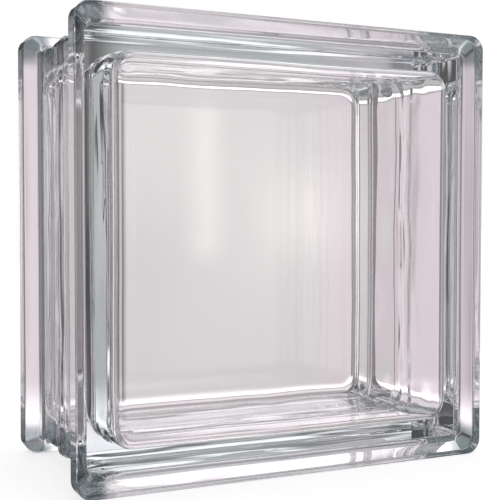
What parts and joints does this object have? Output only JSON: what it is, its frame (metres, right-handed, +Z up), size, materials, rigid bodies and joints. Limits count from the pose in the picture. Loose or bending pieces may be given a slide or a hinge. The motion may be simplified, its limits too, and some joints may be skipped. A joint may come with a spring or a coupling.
{
  "type": "glass block",
  "caption": "Hollow square glass building block, pressed and fused into one sealed piece, with smooth clear faces and a mortar groove round its edge.",
  "frame": {"origin": "middle of the footprint, on the plane that the block stands on", "axes": "+Z up, +Y from the front face to the back face through the depth, +X along the faces"},
  "size_m": [0.197, 0.098, 0.197],
  "materials": {
    "glass": "clear pressed soda-lime glass with a faint pink tint, polished by the mould's flame finish"
  },
  "bodies": {
    "root": {"glass_block": "glass"}
  },
  "joints": []
}
